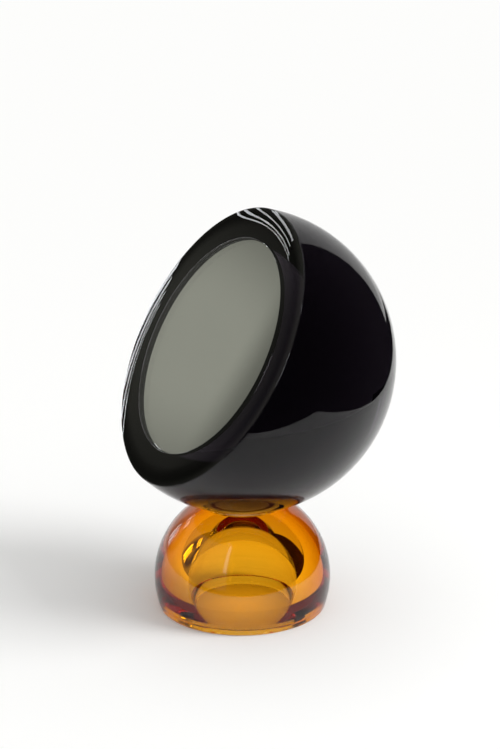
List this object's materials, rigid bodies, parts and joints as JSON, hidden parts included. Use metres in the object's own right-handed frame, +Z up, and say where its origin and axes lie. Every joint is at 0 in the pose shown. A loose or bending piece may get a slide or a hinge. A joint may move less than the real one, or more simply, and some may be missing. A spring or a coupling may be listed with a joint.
{
  "type": "table mirror",
  "caption": "Table mirror: a solid smoked-glass globe with a round mirror set flush in one flat polished facet, turning in the dished top of a thick hollow amber glass dome foot.",
  "frame": {"origin": "centre of the foot's flat underside, on the surface the mirror stands on", "axes": "+Z up through the foot and the globe's centre, the facet and its mirror face -Y and upwards, +X to the side"},
  "size_m": [0.15, 0.1284, 0.1999],
  "materials": {
    "amber_glass": "polished",
    "clear_ring": "satin",
    "smoked_glass": "polished",
    "tinted_pane": "polished",
    "silvering": "polished",
    "backing_paint": "matte",
    "adhesive": "matte"
  },
  "bodies": {
    "foot": {"foot": "amber_glass"},
    "seat": {"seat_ring": "clear_ring"},
    "globe": {"globe": "smoked_glass", "mirror_glass": "tinted_pane", "mirror_silvering": "silvering", "mirror_backing": "backing_paint", "mirror_adhesive": "adhesive"}
  },
  "joints": [
    {"name": "globe_swivel", "type": "hinge", "parent": "foot", "child": "seat", "pos_m": [0, 0, 0.12645], "axis": [0, 0, 1], "continuous": true},
    {"name": "globe_tilt", "type": "hinge", "parent": "seat", "child": "globe", "pos_m": [0, 0, 0.12645], "axis": [1, 0, 0], "range_deg": [-61.5, 26]}
  ]
}
